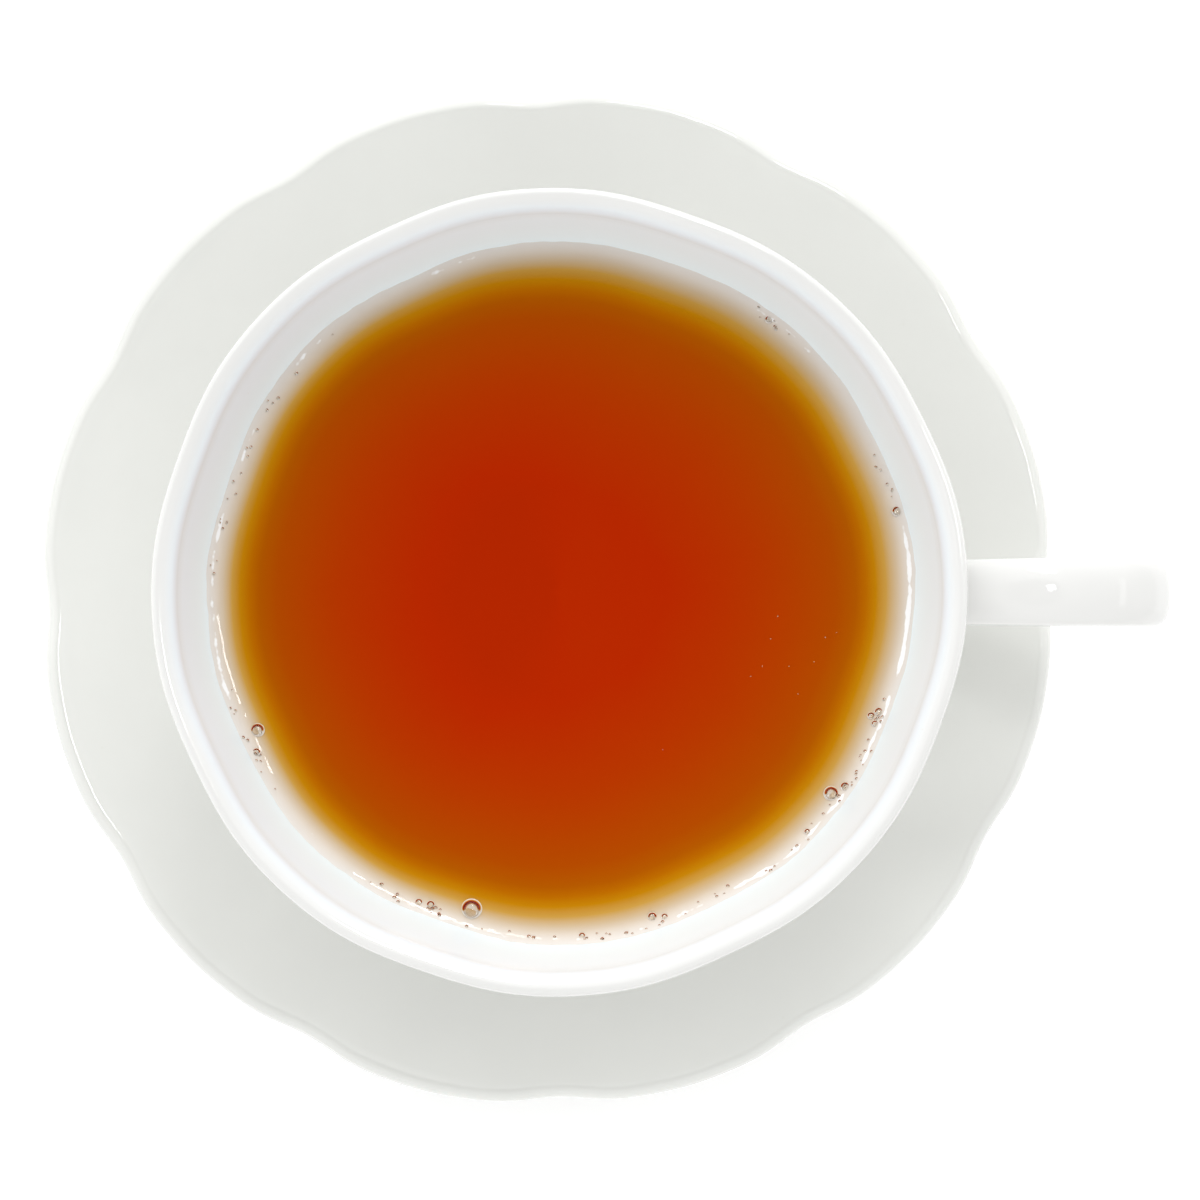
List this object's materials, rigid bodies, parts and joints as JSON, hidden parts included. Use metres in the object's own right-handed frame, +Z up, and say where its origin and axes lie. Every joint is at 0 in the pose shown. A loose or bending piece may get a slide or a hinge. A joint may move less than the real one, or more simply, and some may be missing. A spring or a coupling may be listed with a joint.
{
  "type": "cup of black tea",
  "caption": "Porcelain teacup with fluted rim and strap handle, filled with black tea, standing on a scalloped saucer.",
  "frame": {"origin": "on the saucer's axis, at the underside of its foot ring", "axes": "+Z up, +X towards the cup's handle, +Y across the handle"},
  "size_m": [0.1538, 0.1456, 0.062],
  "materials": {
    "saucer": "gloss",
    "cup": "gloss",
    "tea": "gloss"
  },
  "bodies": {
    "root": {"saucer": "saucer", "cup": "cup", "tea": "tea"}
  },
  "joints": []
}
